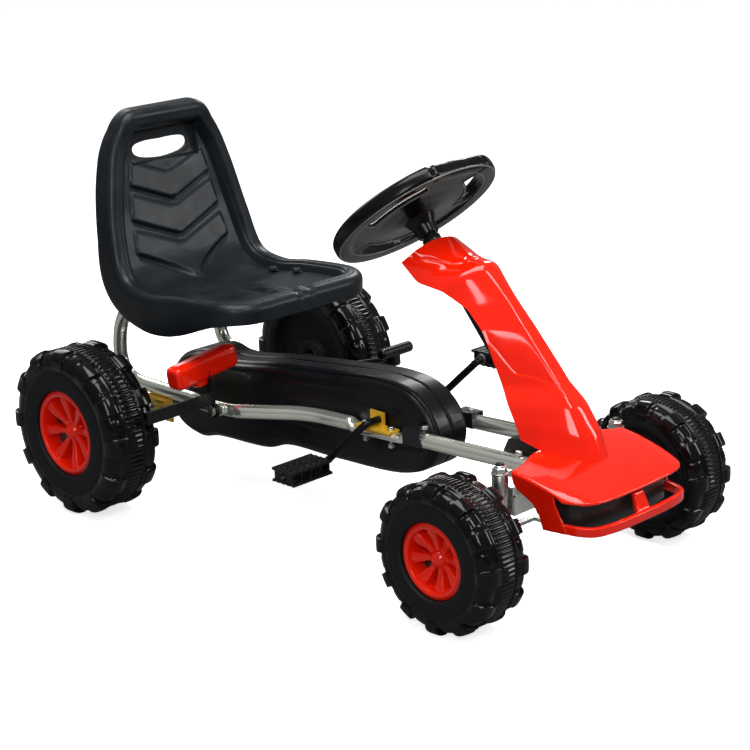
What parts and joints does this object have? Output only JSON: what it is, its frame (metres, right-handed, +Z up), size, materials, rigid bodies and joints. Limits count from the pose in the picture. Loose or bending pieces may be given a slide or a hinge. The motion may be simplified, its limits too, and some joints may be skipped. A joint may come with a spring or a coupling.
{
  "type": "pedal go kart",
  "caption": "Child's ride-on pedal go kart: bent tube frame, bucket seat, moulded wheels, enclosed chain drive, steering wheel and two side levers.",
  "frame": {"origin": "on the ground under the middle of the kart, half way between its front and rear ends", "axes": "-Y is forwards, the way the driver faces; +X is the driver's left; +Z is up"},
  "size_m": [0.603, 1.01, 0.5839],
  "materials": {
    "red_plastic": "gloss moulded, bright red",
    "tyre_plastic": "blow moulded, glossy black with matte sidewalls",
    "seat_plastic": "satin moulded, blue black",
    "case_plastic": "satin moulded, black",
    "black_plastic": "satin moulded, black",
    "silver_tube": "silver lacquer, glossy",
    "zinc_steel": "bright zinc plated",
    "yellow_zinc": "yellow zinc plated",
    "black_steel": "black enamel"
  },
  "bodies": {
    "frame": {"axle_plate_left": "yellow_zinc", "axle_plate_right": "yellow_zinc", "case_clamp_left": "case_plastic", "case_clamp_right": "case_plastic", "case_half_left": "case_plastic", "case_half_right": "case_plastic", "chain": "zinc_steel", "column_cover": "red_plastic", "column_lower_bush": "black_plastic", "column_upper_bush": "black_plastic", "cover_foot": "black_plastic", "crank_plate_left": "yellow_zinc", "crank_plate_right": "yellow_zinc", "front_beam": "zinc_steel", "grille_panel": "black_plastic", "kingpin_sleeve_left": "zinc_steel", "kingpin_sleeve_right": "zinc_steel", "main_rail_left": "silver_tube", "main_rail_right": "silver_tube", "nose_fairing": "red_plastic", "pivot_bolt_left": "zinc_steel", "pivot_bolt_right": "zinc_steel", "rail_front_bolt_left": "zinc_steel", "rail_front_bolt_right": "zinc_steel", "seat": "seat_plastic", "seat_bolt_front_left": "black_steel", "seat_bolt_front_right": "black_steel", "seat_bolt_rear_left": "black_steel", "seat_bolt_rear_right": "black_steel", "seat_tube_left": "silver_tube", "seat_tube_right": "silver_tube"},
    "rear_axle": {"rear_axle": "zinc_steel", "rear_sprocket": "zinc_steel", "tyre_rear_right": "tyre_plastic", "hub_rear_right": "red_plastic", "hub_cap_rear_right": "red_plastic"},
    "rear_left_wheel": {"tyre_rear_left": "tyre_plastic", "hub_rear_left": "red_plastic", "hub_cap_rear_left": "red_plastic"},
    "crank": {"crank": "black_steel", "chainring": "zinc_steel"},
    "steering": {"steering_column": "black_steel", "steering_wheel": "black_plastic"},
    "tie_rod": {"tie_rod": "zinc_steel"},
    "brake": {"brake_lever": "black_steel", "brake_grip": "red_plastic"},
    "shift": {"shift_lever": "black_steel", "shift_grip": "black_plastic"},
    "pedal_right": {"pedal_right": "black_plastic"},
    "knuckle_right": {"knuckle_right": "black_steel", "kingpin_nut_right": "zinc_steel"},
    "front_right_wheel": {"tyre_front_right": "tyre_plastic", "hub_front_right": "red_plastic", "hub_cap_front_right": "red_plastic"},
    "pedal_left": {"pedal_left": "black_plastic"},
    "knuckle_left": {"knuckle_left": "black_steel", "kingpin_nut_left": "zinc_steel"},
    "front_left_wheel": {"tyre_front_left": "tyre_plastic", "hub_front_left": "red_plastic", "hub_cap_front_left": "red_plastic"}
  },
  "joints": [
    {"name": "steer", "type": "hinge", "parent": "frame", "child": "steering", "pos_m": [0, -0.092, 0.487], "axis": [0, 0.6347, 0.7727], "range_deg": [-28, 28]},
    {"name": "tie_rod_slide", "type": "slide", "parent": "frame", "child": "tie_rod", "axis": [-1, 0, 0], "range_m": [-0.0196, 0.0196]},
    {"name": "rear_axle_spin", "type": "hinge", "parent": "frame", "child": "rear_axle", "pos_m": [0, 0.375, 0.13], "axis": [1, 0, 0], "continuous": true},
    {"name": "rear_left_spin", "type": "hinge", "parent": "frame", "child": "rear_left_wheel", "pos_m": [0.254, 0.375, 0.13], "axis": [1, 0, 0], "continuous": true},
    {"name": "crank_spin", "type": "hinge", "parent": "frame", "child": "crank", "pos_m": [0, -0.056, 0.1795], "axis": [1, 0, 0], "continuous": true},
    {"name": "brake_pull", "type": "hinge", "parent": "frame", "child": "brake", "pos_m": [-0.1128, 0.238, 0.148], "axis": [-1, 0, 0], "range_deg": [0, 22]},
    {"name": "shift_pull", "type": "hinge", "parent": "frame", "child": "shift", "pos_m": [0.1128, 0.238, 0.148], "axis": [-1, 0, 0], "range_deg": [0, 24]},
    {"name": "knuckle_right_turn", "type": "hinge", "parent": "frame", "child": "knuckle_right", "pos_m": [-0.122, -0.355, 0.15], "axis": [0, 0, 1], "range_deg": [-28, 28]},
    {"name": "front_right_spin", "type": "hinge", "parent": "knuckle_right", "child": "front_right_wheel", "pos_m": [-0.219, -0.355, 0.104], "axis": [1, 0, 0], "continuous": true},
    {"name": "pedal_right_spin", "type": "hinge", "parent": "crank", "child": "pedal_right", "pos_m": [-0.14, 0.01259, 0.11091], "axis": [1, 0, 0], "continuous": true},
    {"name": "knuckle_left_turn", "type": "hinge", "parent": "frame", "child": "knuckle_left", "pos_m": [0.122, -0.355, 0.15], "axis": [0, 0, 1], "range_deg": [-28, 28]},
    {"name": "front_left_spin", "type": "hinge", "parent": "knuckle_left", "child": "front_left_wheel", "pos_m": [0.219, -0.355, 0.104], "axis": [1, 0, 0], "continuous": true},
    {"name": "pedal_left_spin", "type": "hinge", "parent": "crank", "child": "pedal_left", "pos_m": [0.14, -0.12459, 0.24809], "axis": [1, 0, 0], "continuous": true}
  ],
  "couplings": [
    {"joint": "tie_rod_slide", "follows": "steer", "m_per_rad": 0.04},
    {"joint": "crank_spin", "follows": "rear_axle_spin", "ratio": 0.6739},
    {"joint": "knuckle_right_turn", "follows": "steer", "ratio": 1},
    {"joint": "knuckle_left_turn", "follows": "steer", "ratio": 1}
  ]
}
